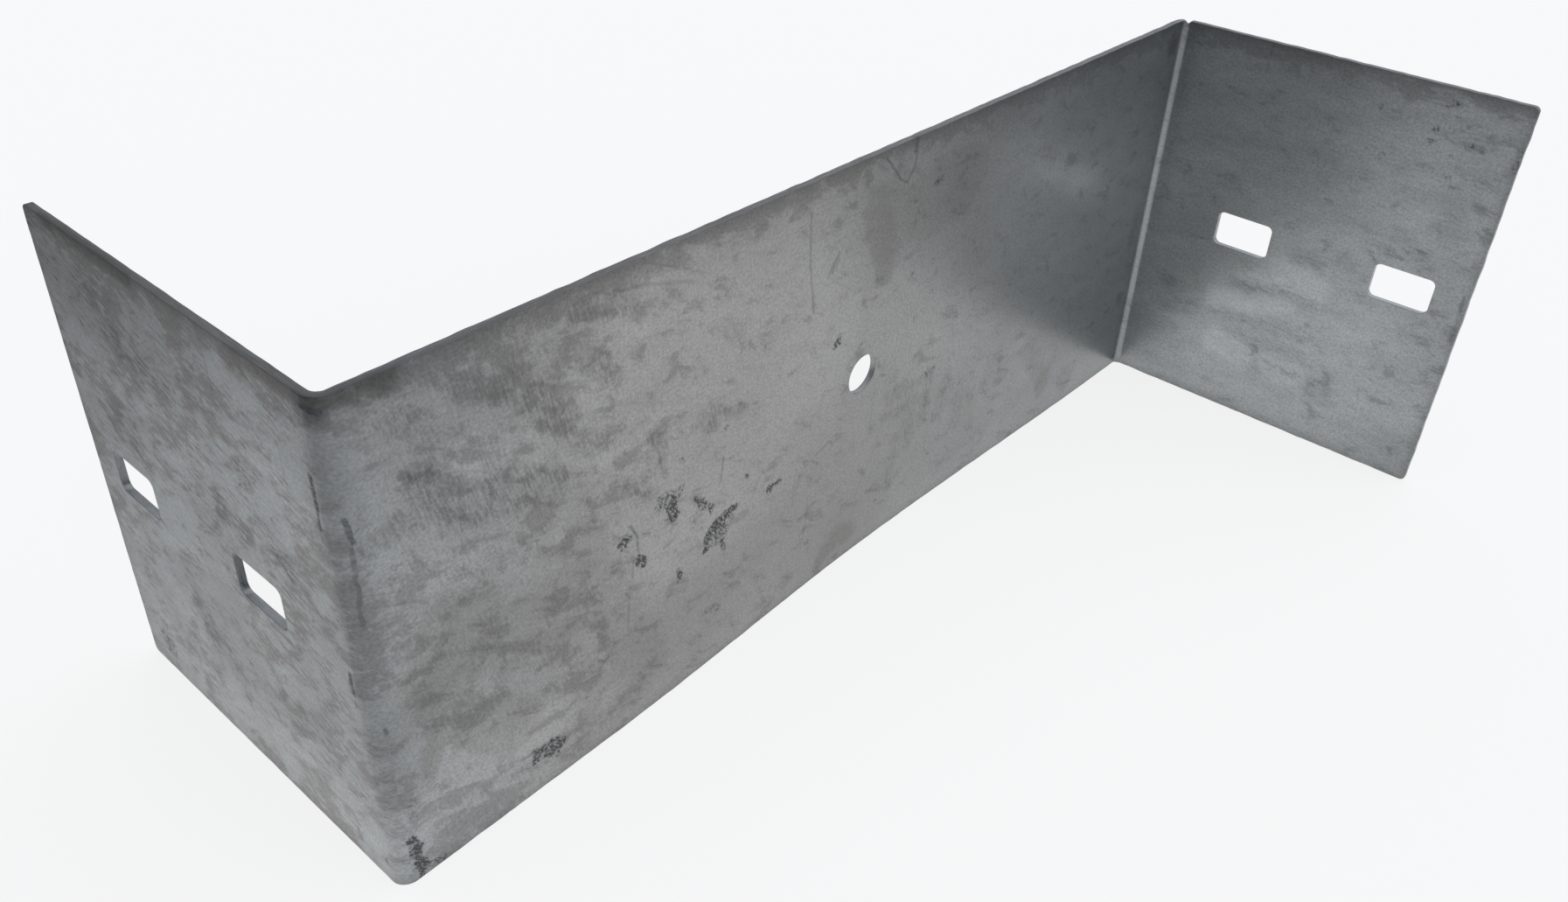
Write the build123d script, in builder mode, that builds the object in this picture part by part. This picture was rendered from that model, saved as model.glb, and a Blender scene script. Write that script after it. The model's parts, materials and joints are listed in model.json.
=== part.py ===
# Offset reducing splice plate for a cable tray side rail.
# One strip of steel sheet, folded twice into a Z seen from above and dipped in zinc.
# The web stands across the tray and a flange runs along each rail, one to either side.
# Origin: middle of the footprint, on the bottom edge that the plate stands on. Lengths in mm.

from build123d import *
import os

# The strip
sheetThickness = 1.5
plateHeight = 100.0
webLength = 247.0
flangeLength = 85.4
insideBendRadius = 1.7

# The flat pattern's corners, and the narrow bevel that the zinc leaves on its sheared edges
cornerRadius = 1.2
edgeBevel = 0.2

# Bolt slots, two in each flange, with their long side along the rail
slotsPerFlange = 2
slotLength = 14.5
slotHeight = 9.0
slotCornerRadius = 1.5
slotSpacing = 41.0
slotToFlangeEnd = 15.4

# Round hole in the web, a little nearer to the left fold
webHoleDiameter = 9.0
webHoleOffset = 1.7

# Heights and places that follow from the sizes above
midHeight = plateHeight / 2
halfWeb = (webLength - sheetThickness) / 2
flangeEnd = flangeLength - sheetThickness / 2
midBendRadius = insideBendRadius + sheetThickness / 2
slotPatternCentre = flangeEnd - slotToFlangeEnd - slotSpacing * (slotsPerFlange - 1) / 2
throughCut = 2 * sheetThickness
lengthTolerance = 0.001

# Middle line of the sheet from above: left flange, fold, web, fold back, right flange
stripLine = [
    (-halfWeb, flangeEnd),
    (-halfWeb, 0),
    (halfWeb, 0),
    (halfWeb, -flangeEnd),
]

# Each flange's middle plane, at the middle of its row of slots, with X along the rail
leftFlangePlane = Plane(
    origin=(-halfWeb, slotPatternCentre, midHeight), x_dir=(0, 1, 0), z_dir=(1, 0, 0)
)
rightFlangePlane = Plane(
    origin=(halfWeb, -slotPatternCentre, midHeight), x_dir=(0, 1, 0), z_dir=(1, 0, 0)
)
webPlane = Plane(origin=(-webHoleOffset, 0, midHeight), x_dir=(1, 0, 0), z_dir=(0, -1, 0))

with BuildPart() as splicePlate:
    # The folded strip, its thickness laid evenly on both sides of the middle line
    with BuildSketch(Plane.XY):
        with BuildLine():
            FilletPolyline(stripLine, radius=midBendRadius)
        trace(line_width=sheetThickness)
    extrude(amount=plateHeight)

    # Corners of the two free ends
    endFaces = splicePlate.faces().sort_by(Axis.Y)
    endCorners = (endFaces[0].edges() + endFaces[-1].edges()).filter_by(Axis.X)
    fillet(endCorners, radius=cornerRadius)

    # Punched bolt slots
    for flangePlane in (leftFlangePlane, rightFlangePlane):
        with BuildSketch(flangePlane):
            with GridLocations(slotSpacing, 0, slotsPerFlange, 1):
                RectangleRounded(slotLength, slotHeight, slotCornerRadius)
        extrude(amount=throughCut, both=True, mode=Mode.SUBTRACT)

    # Punched round hole
    with BuildSketch(webPlane):
        Circle(webHoleDiameter / 2)
    extrude(amount=throughCut, both=True, mode=Mode.SUBTRACT)

    # Every sheared and punched edge is softened; bend lines and corner seams are smooth already
    seamLengths = (sheetThickness, plateHeight)
    cutEdges = splicePlate.edges().filter_by(
        lambda edge: all(abs(edge.length - seam) > lengthTolerance for seam in seamLengths)
    )
    chamfer(cutEdges, length=edgeBevel)

splicePlate.part.label = "splice_plate"

os.makedirs("parts", exist_ok=True)
export_step(splicePlate.part, "parts/splice_plate.step")
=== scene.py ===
# Offset splice plate of a cable tray: one folded strip of hot-dip galvanised steel, standing on its edge
import bpy
import bmesh
import json
import math
from functools import partial
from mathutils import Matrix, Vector
from mathutils.kdtree import KDTree


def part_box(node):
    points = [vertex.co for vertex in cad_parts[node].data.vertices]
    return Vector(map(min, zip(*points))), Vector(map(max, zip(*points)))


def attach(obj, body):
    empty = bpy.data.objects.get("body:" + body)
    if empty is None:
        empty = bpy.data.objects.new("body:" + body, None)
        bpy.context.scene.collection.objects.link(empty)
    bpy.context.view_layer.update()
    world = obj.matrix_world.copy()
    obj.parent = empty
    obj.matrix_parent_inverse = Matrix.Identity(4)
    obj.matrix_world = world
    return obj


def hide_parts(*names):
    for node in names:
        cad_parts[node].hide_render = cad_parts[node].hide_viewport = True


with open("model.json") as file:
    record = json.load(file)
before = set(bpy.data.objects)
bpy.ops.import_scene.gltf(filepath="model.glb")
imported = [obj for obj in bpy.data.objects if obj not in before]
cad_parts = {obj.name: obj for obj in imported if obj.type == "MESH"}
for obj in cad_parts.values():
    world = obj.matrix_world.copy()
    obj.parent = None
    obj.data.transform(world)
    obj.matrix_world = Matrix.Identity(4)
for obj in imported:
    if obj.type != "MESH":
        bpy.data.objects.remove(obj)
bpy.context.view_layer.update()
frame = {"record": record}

scene = bpy.context.scene
mm = 0.001

# the plate, in metres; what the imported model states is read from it
low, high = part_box("splice_plate")
mounts = {mount["name"]: mount for mount in frame["record"]["mounts"]}
slotMount = mounts["right_flange_slots"]
holeMount = mounts["web_hole"]
plate = {
    "height": high.z - low.z,
    "webLength": high.x - low.x,
    "depth": high.y - low.y,             # over both flanges
    "thickness": 1.5 * mm,
    "insideBend": 1.7 * mm,
    "cornerRadius": 1.2 * mm,
    "cornerSteps": 6,
    "edgeRound": 0.25 * mm,              # what zinc leaves of a sheared edge
    "edgeSteps": 3,
    "edgeAngle": 60,                     # degrees; anything sharper is such an edge
    "slotLength": slotMount["dims"]["slot_length_mm"] * mm,
    "slotHeight": slotMount["dims"]["hole_r_mm"] * 2 * mm,
    "slotSpacing": slotMount["dims"]["spacing_x_mm"] * mm,
    "slotsPerFlange": slotMount["dims"]["count"],
    "slotCorner": 1.5 * mm,
    "slotRowFromWeb": -slotMount["pos_m"][1],
    "holeRadius": holeMount["dims"]["r_mm"] * mm,
    "holePlace": holeMount["pos_m"][0],
    "holeSteps": 72,
    "bowDepth": 2.0 * mm,                # the web's lower edge is bent back by this much
    "bowFrom": -75 * mm,
    "bowPeak": 5 * mm,
    "bowTo": 117 * mm,
    "bowFade": 1.6,                      # the power by which the bow grows from the top edge down
    "edgeStray": 0.6 * mm,               # how unevenly the strip is sheared, ripples this long
    "edgeRipple": 5 * mm,
    "edgeBand": 1.6 * mm,                # and how far in from the edge that is felt
    "notchPlace": 2.9 * mm,              # a nick in the top edge, this far past the start of the right fold
    "notchWidth": 0.9 * mm,
    "notchDepth": 0.9 * mm,
    "columnPitch": 1.5 * mm,             # spacing of the mesh's columns and rows
    "rowPitch": 1.5 * mm,
    "foldSteps": 10,
    "markCuts": 4,                       # how often the mesh is cut again under a small mark
    "markReach": 0.85,                   # and how far past the mark, in columns
    "widestCutMark": {"scratch": 1.6, "gouge": 1.6, "rub": 0.75},   # mm; wider ones need no finer mesh
    "weldDistance": 1e-6,
    "cutTolerance": 1e-7,
}

# what follows from them, along the unfolded strip
bendRadius = plate["insideBend"] + plate["thickness"] / 2
halfWebFlat = (plate["webLength"] - plate["thickness"]) / 2 - bendRadius
foldLength = math.pi / 2 * bendRadius
flangeFlat = plate["depth"] / 2 - bendRadius
halfStrip = halfWebFlat + foldLength + flangeFlat
slotRowFlat = halfWebFlat + foldLength + plate["slotRowFromWeb"] - bendRadius
foldCorner = (halfWebFlat + foldLength - bendRadius - plate["thickness"] / 2) / mm
stripReach = halfStrip / mm
print("frame loaded, strip length", round(2 * halfStrip / mm, 1), "mm")


def addNode(tree, kind, inputs=(), operation=None, **settings):
    # one node with its settings; inputs come by position or by name, as values, sockets or nodes
    node = tree.nodes.new(kind)
    if operation:
        node.operation = operation
    for name, value in settings.items():
        setattr(node, name, value)
    pairs = inputs.items() if isinstance(inputs, dict) else enumerate(inputs)
    for key, value in pairs:
        if isinstance(value, bpy.types.Node):
            value = value.outputs[0]
        if isinstance(value, bpy.types.NodeSocket):
            tree.links.new(value, node.inputs[key])
        else:
            node.inputs[key].default_value = value
    return node


def linear(hexColour):
    # sRGB hex to the linear colour that a shader socket takes
    parts = [int(hexColour[i:i + 2], 16) / 255 for i in (1, 3, 5)]
    return [c / 12.92 if c <= 0.04045 else ((c + 0.055) / 1.055) ** 2.4 for c in parts] + [1]


def newTree(name, sockets, result):
    # a Geometry Nodes tree with named inputs, listed by kind, and one output; also gives what adds its nodes
    tree = bpy.data.node_groups.new(name, "GeometryNodeTree")
    for kind, labels in sockets.items():
        for label in labels:
            tree.interface.new_socket(label, in_out="INPUT", socket_type="NodeSocket" + kind)
    tree.interface.new_socket(result, in_out="OUTPUT", socket_type="NodeSocket" + result)
    given = tree.nodes.new("NodeGroupInput").outputs
    return tree, partial(addNode, tree), given, tree.nodes.new("NodeGroupOutput").inputs[0]


def endTree(tree, geometry, material, result):
    # the end that every tree of the plate has
    real = addNode(tree, "GeometryNodeRealizeInstances", [geometry])
    coated = addNode(tree, "GeometryNodeSetMaterial", {"Geometry": real, "Material": material})
    tree.links.new(coated.outputs[0], result)
    return tree


def applyTree(thing, tree, values):
    # runs a tree as a modifier on the thing, its inputs set by socket identifier
    modifier = thing.modifiers.new(tree.name, "NODES")
    modifier.node_group = tree
    for item in tree.interface.items_tree:
        if item.item_type == "SOCKET" and item.in_out == "INPUT" and item.name in values:
            modifier[item.identifier] = values[item.name]


def emptied(owner):
    # clears a new material or world and gives what adds nodes to it
    owner.use_nodes = True
    owner.node_tree.nodes.clear()
    return partial(addNode, owner.node_tree)


def bake(thing):
    # turns what the modifiers give into the thing's own mesh
    depsgraph = bpy.context.evaluated_depsgraph_get()
    mesh = bpy.data.meshes.new_from_object(
        thing.evaluated_get(depsgraph), preserve_all_data_layers=True, depsgraph=depsgraph)
    thing.modifiers.clear()
    thing.data = mesh


def multiplied(add, tone, changes):
    # the tone, times one plus each pattern's own change
    for pattern, change in changes:
        factor = add("ShaderNodeMath", [pattern, change, 1.0], "MULTIPLY_ADD")
        tone = add("ShaderNodeMath", [tone, factor], "MULTIPLY")
    return tone


# marks in the coat: (half width, strength, point, point ...) in millimetres, each point its distance along
# the face and its height; on the web from its middle, on a flange from the outside corner of its fold
marks = {}
# thin dark lines
marks["scratch", "web"] = [
    (0.12, 0.68, (-0.5, 98.5), (2.5, 95), (4.5, 92.4), (7, 91.1), (9, 93.5), (9.6, 97)),
    (0.3, 0.77, (9.1, 100), (9, 97.2)), (0.11, 0.41, (-22.6, 94), (-22, 85), (-21.2, 79), (-20, 72.5)),
    (0.18, 0.45, (-20.7, 76), (-19.9, 72.3)), (0.12, 0.22, (-18.8, 71.8), (-17, 70.6)),
    (0.12, 0.5, (-16.4, 78.2), (-14.2, 81.6)), (0.15, 0.5, (-15, 79), (-13.2, 82.7)),
    (0.08, 0.41, (-13.8, 79.4), (-13.1, 81.2)), (0.1, 0.17, (-12.2, 78.3), (-10.6, 82)),
    (0.28, 0.15, (-101, 88.6), (-90, 87.5), (-82, 84), (-74, 81.5)),
    (0.17, 0.21, (-74, 97), (-63, 94.6), (-53, 91.4)), (0.14, 0.17, (-64, 99), (-56, 95), (-50, 92)),
    (0.14, 0.15, (-101, 49.3), (-93, 46.2), (-86, 43)), (0.12, 0.12, (-98, 36), (-92, 33.6), (-87, 30.5)),
    (0.12, 0.15, (-97, 30), (-91, 26.6)), (0.17, 0.63, (-68.9, 48.2), (-67.8, 46.4), (-67.2, 44.4)),
    (0.1, 0.59, (-67.3, 43.8), (-67.1, 41.2)), (0.14, 0.54, (-65.8, 44.6), (-64.2, 43.8)),
    (0.09, 0.41, (-68.3, 40), (-68.8, 36)), (0.12, 0.5, (-70.6, 33.6), (-69.9, 31.6)),
    (0.08, 0.36, (-69.9, 30.5), (-70.4, 24.6)), (0.13, 0.54, (-44.6, 50.6), (-45, 48)),
    (0.09, 0.41, (-45, 48), (-45.5, 45)), (0.12, 0.54, (-77.8, 21.8), (-76.4, 20.5), (-74.9, 21.3)),
    (0.08, 0.17, (-58.5, 43), (-59.6, 35.5)),
    (0.13, 0.45, (-16.2, 36), (-13.5, 36.6), (-11.4, 37.5), (-10, 36.3)),
    (0.15, 0.21, (-35.8, 36), (-35, 38.5), (-33.6, 40.2)), (0.18, 0.26, (-20.4, 33.4), (-21.6, 30.2)),
    (0.11, 0.19, (-22, 35.4), (-22.5, 27)), (0.12, 0.22, (-17.3, 26), (-17.6, 19), (-18.2, 13)),
    (0.15, 0.22, (-9.8, 22), (-7.6, 20.9), (-5.8, 22.6)), (0.19, 0.12, (3.4, 45), (3.2, 35), (2.2, 29)),
    (0.25, 0.12, (8, 33.6), (5, 25), (0, 16)), (0.17, 0.11, (-8, 42), (-6.5, 31)),
    (0.55, 0.95, (-123.6, 98.2), (-122.2, 97.6)), (0.18, 0.75, (-121.4, 79.8), (-121, 75)),
    (0.16, 0.45, (-121.2, 74), (-121.4, 60)), (0.17, 0.26, (-116, 60.5), (-114, 59.6), (-111, 57.6)),
    (0.14, 0.19, (-104, 60), (-100, 54.5)), (0.12, 0.14, (-96, 40), (-88, 36), (-84, 35)),
    (0.33, 0.08, (-80, 76.5), (-70, 74.8), (-60, 70)), (0.14, 0.22, (-74.2, 9.5), (-71, 9.3), (-69, 9)),
    (0.14, 0.45, (-96.6, 10.6), (-92, 10), (-88, 10)),
]
marks["scratch", "leftFlange"] = [
    (0.42, 1, (4, 86), (3.7, 80.5)), (0.22, 0.9, (3.8, 80), (3.9, 77)), (0.35, 1, (3.7, 48.8), (3.9, 46.5)),
    (0.28, 0.9, (3.8, 45.5), (3.7, 44.6)), (0.15, 0.45, (3.6, 43), (3.7, 42)),
    (0.22, 0.68, (3.6, 5.6), (3.5, 4.6)), (0.17, 0.59, (0.3, 37.6), (0, 36.6)),
    (0.28, 0.22, (85, 73.6), (74, 74.8), (62, 76.6), (46, 79)),
    (0.19, 0.17, (64, 80.6), (52, 83), (40, 85.8)), (0.25, 0.17, (38, 82), (27, 85), (14, 88.4)),
    (0.17, 0.14, (84, 55.6), (70, 57), (58, 60)), (0.17, 0.15, (60, 39.8), (48, 42.6), (38, 44.4)),
    (0.19, 0.14, (40, 15.4), (30, 18), (16, 23)), (0.14, 0.22, (29.3, 100), (29, 92), (28.8, 80)),
    (0.11, 0.14, (48, 100), (47.8, 86), (48.2, 66)), (0.19, 0.15, (11.8, 88), (11.6, 78)),
]
marks["scratch", "rightFlange"] = [
    (0.18, 0.54, (24.8, 100), (25, 97)), (0.14, 0.41, (25, 95), (25, 92.6)),
    (0.23, 0.41, (84, 53), (84, 49.6)), (0.14, 0.22, (84.3, 47), (84.5, 41)),
    (0.17, 0.36, (46.6, 66.2), (48.6, 66)), (0.17, 0.22, (1.2, 62.6), (3.2, 62.2)),
]
# rough spots that have lost their shine
marks["gouge", "web"] = [
    (1.5, 0.6, (-61.2, 49), (-58.6, 48.4)), (1.3, 0.85, (-58.4, 47.6), (-58.2, 45.2)),
    (0.8, 0.55, (-60.5, 50), (-55.8, 49.4)), (0.6, 0.9, (-48.4, 34.6), (-46, 36), (-41.2, 36.8)),
    (1.6, 0.66, (-47.4, 33.8), (-45.2, 33.4)), (0.55, 0.85, (-49, 34.2), (-48.9, 31)),
    (0.9, 0.85, (-46.8, 34.8), (-44.4, 35.2)), (0.5, 0.5, (-44.5, 32), (-42, 34.6)),
    (0.8, 0.5, (-47.2, 31.2), (-45.2, 30.8)), (0.3, 0.8, (-44.5, 30.6), (-44.2, 28.2)),
    (1.1, 0.34, (-52.4, 40.6), (-50, 41.4)), (0.8, 0.3, (-52.4, 38.8), (-50.4, 37.4)),
    (0.45, 0.7, (-51.8, 44.4), (-47.6, 39.8)), (0.85, 0.75, (-71.2, 45.2), (-69.8, 45.6)),
    (0.6, 0.9, (-67, 39.8), (-66, 37.8)), (0.5, 0.85, (-57.5, 30.2), (-56.8, 28.7)),
    (0.5, 0.75, (-12.3, 61.6), (-10.9, 62.8)), (0.95, 0.85, (-30.1, 35.5)), (0.7, 0.7, (-27.9, 35.5)),
    (0.35, 0.6, (17.6, 87.7), (19.6, 88.2)), (0.6, 1, (-119.9, 10.2), (-119.2, 1)),
    (0.9, 0.35, (-119, 18.2), (-119.6, 15)), (1.6, 0.75, (-93, 9), (-88.4, 8.2)),
    (0.7, 0.6, (-117.6, 1.8), (-115, 0.8)), (0.28, 0.9, (-38.3, 42.2)),
    (0.8, 0.45, (-48.5, 14.8), (-45.5, 13)), (0.45, 0.6, (-16.6, 13)), (0.4, 0.5, (12, 67.8)),
    (0.35, 0.45, (20.2, 69.1)), (0.35, 0.45, (21.2, 61)), (0.5, 0.4, (15.6, 56.6)), (0.6, 0.45, (-40.4, 5)),
    (0.55, 0.4, (-37.4, 22.4)), (0.6, 0.4, (-72.4, 28.4)), (0.4, 0.6, (-56, 56.3)),
    (0.45, 0.5, (-44.3, 57)), (0.45, 0.4, (-96.6, 56)), (0.55, 0.45, (9, 10.4)),
    (0.9, 0.45, (25.2, 39), (23, 39.4)), (0.9, 0.35, (24.8, 33), (24.6, 30)),
]
marks["gouge", "leftFlange"] = [
    (1.9, 0.55, (78.2, 8.8), (76, 5.4)), (1, 0.4, (76.6, 12.4)), (0.6, 0.4, (11.8, 8.6), (11.4, 5)),
    (1.8, 0.45, (18.2, 62.8), (16.2, 61.8)), (0.8, 0.45, (34.4, 75.6)), (1.6, 0.4, (26, 77), (25.6, 74.4)),
]
marks["gouge", "rightFlange"] = [
    (0.4, 0.6, (69.2, 96.6)), (0.35, 0.55, (67.6, 96.2)), (0.35, 0.6, (72.8, 92.2)),
    (0.45, 0.6, (74.8, 88)), (0.45, 0.55, (77.2, 87.8)), (0.4, 0.55, (66.4, 90)), (0.4, 0.6, (66.2, 86.8)),
    (0.35, 0.5, (72.2, 80.2)), (0.4, 0.55, (53.6, 91.2)), (0.45, 0.45, (56.4, 80.6)),
    (0.4, 0.45, (43.4, 80)), (0.35, 0.45, (70.4, 93.4)), (0.35, 0.4, (71, 85)),
    (0.7, 0.4, (85, 90), (85.2, 86)),
]
# soft strokes left by wiping and handling
marks["rub", "web"] = [
    (2.4, 0.4, (-48.6, 62), (-47.8, 60.6)), (1, 0.5, (-42.6, 60.4), (-40.6, 59.6)),
    (0.7, 0.3, (-52.8, 61.4)), (0.15, 0.5, (-63, 64.6), (-62, 61)), (0.15, 0.45, (-60.8, 64), (-60, 61)),
    (0.15, 0.5, (-61.3, 59.6), (-59.8, 54.2)), (0.8, 0.46, (-69.2, 57.2), (-67.8, 56)),
    (0.6, 0.25, (-66, 57.6), (-65, 54.4)), (1, 0.35, (-66, 52.6), (-63.8, 52)),
    (1.4, 0.26, (-45, 79.2), (-41.6, 76.6)), (2.8, 0.4, (-104, 70.6), (-88, 67)),
    (2.5, 0.42, (-93, 71), (-85, 66)), (2.4, 0.4, (-88, 84), (-82, 77)),
    (1.2, 0.42, (-84.6, 82), (-83.4, 77)), (2.2, 0.36, (-111, 75), (-105, 75.4)),
    (1.8, 0.36, (-76, 85.4), (-72, 82)), (1.6, 0.32, (-96.4, 78), (-95, 69)),
    (1.1, 0.4, (-119, 73.4), (-104, 73)), (0.9, 0.6, (-110.6, 81), (-107.4, 80.4)),
    (1.8, 0.34, (-112.4, 91), (-108, 89.6)), (2.2, 0.3, (-101, 92), (-92, 89)),
    (2, 0.3, (-78, 95), (-68, 94)), (1.4, 0.3, (-80, 72), (-74, 68)), (1.2, 0.3, (10, 39), (20, 38)),
    (0.9, 0.28, (8, 33.8), (20, 33)), (1, 0.26, (18, 30), (19, 22)), (1.1, 0.26, (24.6, 38), (24, 26)),
    (1, 0.22, (32, 34), (31, 24)), (1.3, 0.22, (38, 26), (39.6, 18)), (1.1, 0.2, (14, 26), (13, 14)),
]
marks["rub", "leftFlange"] = [
    (1.3, 0.45, (57.6, 41), (55.4, 33)), (2.3, 0.5, (54.6, 30), (52.4, 23)),
    (1.5, 0.45, (53.8, 21), (55.4, 13)), (2.4, 0.5, (35.6, 63), (30, 61.8)),
    (0.9, 0.45, (36.6, 66.6), (36, 62)), (2.2, 0.42, (69, 62), (65.6, 61)),
    (1.6, 0.36, (68, 67.6), (64, 67)), (2.2, 0.34, (22, 66.6), (12, 58)), (2.4, 0.3, (46, 60), (40, 57)),
    (2, 0.36, (20, 25), (12, 34)), (1.6, 0.3, (36, 24), (24, 26)), (1.5, 0.3, (46, 20), (44.6, 17)),
    (2.6, 0.24, (60, 84), (46, 83)), (2.6, 0.24, (84, 90), (62, 92)),
]
marks["rub", "rightFlange"] = [
    (0.8, 0.4, (44, 49.4), (50.6, 48.6)), (0.8, 0.26, (30, 37), (52, 38.6)),
    (0.9, 0.22, (27, 27), (52, 29)), (1.2, 0.22, (33, 22), (52, 22.6)), (2.4, 0.26, (57, 15.6), (60, 14)),
    (2, 0.22, (13, 24), (20, 26)), (1.6, 0.22, (39.6, 20), (40.4, 14)), (1.6, 0.24, (66, 63), (74, 58)),
]
# broad dull patches in the zinc
marks["stain", "web"] = [
    (3.4, 0.4, (-2, 90), (0.2, 81)), (2.6, 0.46, (0.8, 84), (2.6, 72.6)), (3.2, 0.24, (4.6, 91), (4.4, 80)),
    (8, 0.25, (15, 84), (28, 85)), (6, 0.42, (-112, 42), (-105, 44)), (5, 0.36, (-108, 51.6), (-103, 50)),
    (4.6, 0.4, (-110.6, 36), (-107, 29)), (5.6, 0.32, (-103, 25), (-98, 20)),
    (1.4, 0.45, (-113, 29.6), (-115.4, 23)), (7, 0.26, (-96, 40), (-84, 40)),
    (5, 0.22, (-80, 50), (-78, 38)), (5, 0.22, (-76, 38), (-66, 12)),
    (2, 0.45, (-10, 5), (-6.6, 7), (-2.6, 7.6), (-1, 5.6)), (1.4, 0.35, (-23, 5.6)),
    (2.6, 0.36, (79, 12.6), (80, 10.6)), (2.4, 0.3, (91, 8), (92, 6)), (2.4, 0.24, (68, 27), (76, 18)),
    (1.2, 0.26, (45, 24), (46, 14)), (1.7, 1, (117.4, 94.8), (117.8, 93.6)), (1.3, 0.6, (116.4, 23)),
    (1.2, 0.4, (117, 48), (116.8, 39)), (0.9, 0.6, (-121.6, 99.4), (-112, 98.8)),
]
marks["stain", "leftFlange"] = [
    (5, 0.22, (60, 36), (40, 38)), (5, 0.22, (50, 24), (20, 26)), (4, 0.2, (84, 60), (60, 66)),
    (6, 0.24, (84, 94), (66, 84)), (0.8, 1, (78, 99.8), (50, 99.6)), (0.8, 0.6, (20, 99.6), (2, 99.6)),
    (1, 0.6, (22, 97), (18, 95.6)), (3.6, 0.22, (70, 20), (84, 30)),
]
marks["stain", "rightFlange"] = [
    (3, 0.2, (18, 40), (30, 44)), (3, 0.16, (12, 30), (20, 34)), (2.6, 0.16, (74, 76), (77, 66)),
]
# cleaner zinc
marks["bright", "web"] = [
    (3.6, 0.5, (-94, 16), (-88, 13.6)), (3.2, 0.4, (-94, 77), (-90, 74)),
    (2.6, 0.36, (-100, 80), (-99, 78)), (4, 0.4, (-118, 46), (-114, 50.6)),
    (4.6, 0.4, (-118, 14), (-104, 17)), (1.4, 0.45, (-108.4, 36.6), (-112.6, 25)),
    (2.4, 0.4, (-112, 63), (-104, 60.4)), (2.4, 0.4, (-80, 69), (-75, 66.6)),
    (1.6, 0.3, (-81, 14), (-77, 12)), (2, 0.3, (-63, 97), (-50, 97.4)), (1, 0.32, (46.6, 30), (46.6, 14)),
    (4.6, 0.2, (52, 18), (58, 16)), (2.4, 0.22, (66, 30), (68, 16)),
]
marks["bright", "leftFlange"] = [
    (2.6, 0.5, (30.6, 30), (27, 31.4)), (3.4, 0.36, (66, 44), (50, 46)), (6, 0.36, (30, 9), (6, 12)),
    (3.4, 0.3, (10, 44), (8, 30)), (3.2, 0.3, (66, 28), (60, 22)), (4, 0.26, (20, 78), (8, 84)),
    (3.6, 0.3, (46, 66), (42, 74)),
]
marks["bright", "rightFlange"] = [
    (2.8, 0.75, (28.6, 18), (36.6, 17)), (2.8, 0.6, (43.6, 18), (50.6, 17.4)),
    (1.6, 1, (26, 31), (34, 32.4), (44, 35.6)), (0.9, 0.8, (32, 39), (44, 41.4), (52, 40.4)),
    (0.9, 0.6, (40, 45), (52, 44)), (1.4, 0.26, (16, 9.6), (27, 9.4)), (3.6, 0.24, (50, 56), (58, 58)),
]
# where the whole coat is a little lighter: partly its own tone, partly painted light
marks["pale", "web"] = [
    (9, 0.65, (-62, 74), (-24, 66)), (8, 0.25, (-106, 72), (-90, 72)), (8, 0.6, (-56, 44), (-40, 48)),
    (6, 0.45, (-112, 9), (-104, 11)), (6, 0.3, (14, 62), (30, 56)), (12, 0.7, (58, 74), (100, 62)),
]
marks["pale", "leftFlange"] = [
    (3, 0.45, (10, 4), (60, 2)), (8, 0.42, (32, 80), (12, 78)),
]
marks["pale", "rightFlange"] = [
    (10, 0.75, (56, 36), (70, 30)), (8, 0.65, (36, 20), (56, 18)), (8, 0.5, (74, 66), (76, 50)),
    (5, 0.4, (78, 82), (79, 70)),
]
# painted shade: darker lines along the folds, where they mirror the darker surroundings in front, and a small
# dark spot standing in for a dent at the top of the left fold
marks["shade", "web"] = [
    (0.6, 0.4, (-121.6, 100), (-121.6, 60)), (0.6, 0.3, (-121.6, 60), (-121.6, 20)),
    (0.6, 0.9, (-123.2, 98.2), (-122.4, 97.4)), (0.5, 0.6, (-121, 98), (-112, 99)),
]
marks["shade", "leftFlange"] = [
    (0.6, 0.45, (1.2, 100), (1.2, 60)), (0.6, 0.3, (1.2, 60), (1.2, 20)),
]
marks["shade", "rightFlange"] = [
    (0.5, 0.3, (4, 98), (4, 50)),
]
# where the whole coat is a little darker: partly its own tone, partly painted shade
marks["dim", "web"] = [
    (8, 0.3, (-114, 92), (-100, 94)), (8, 0.25, (96, 92), (116, 90)), (6, 0.25, (-6, 10), (6, 10)),
    (8, 0.22, (26, 22), (44, 18)), (8, 0.2, (-52, 14), (-18, 14)),
]
marks["dim", "leftFlange"] = [
    (8, 0.7, (82, 94), (44, 96)), (6, 0.25, (82, 70), (80, 40)),
]
marks["dim", "rightFlange"] = [
    (4, 0.3, (84, 92), (85, 8)), (8, 0.25, (12, 84), (32, 84)),
]


def onStrip(face, point):
    # a place on one face, in the unfolded strip's millimetres
    along, height = point
    if face == "web":
        return (along, height, 0)
    return ((-1 if face == "leftFlange" else 1) * (foldCorner + along), height, 0)


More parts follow.
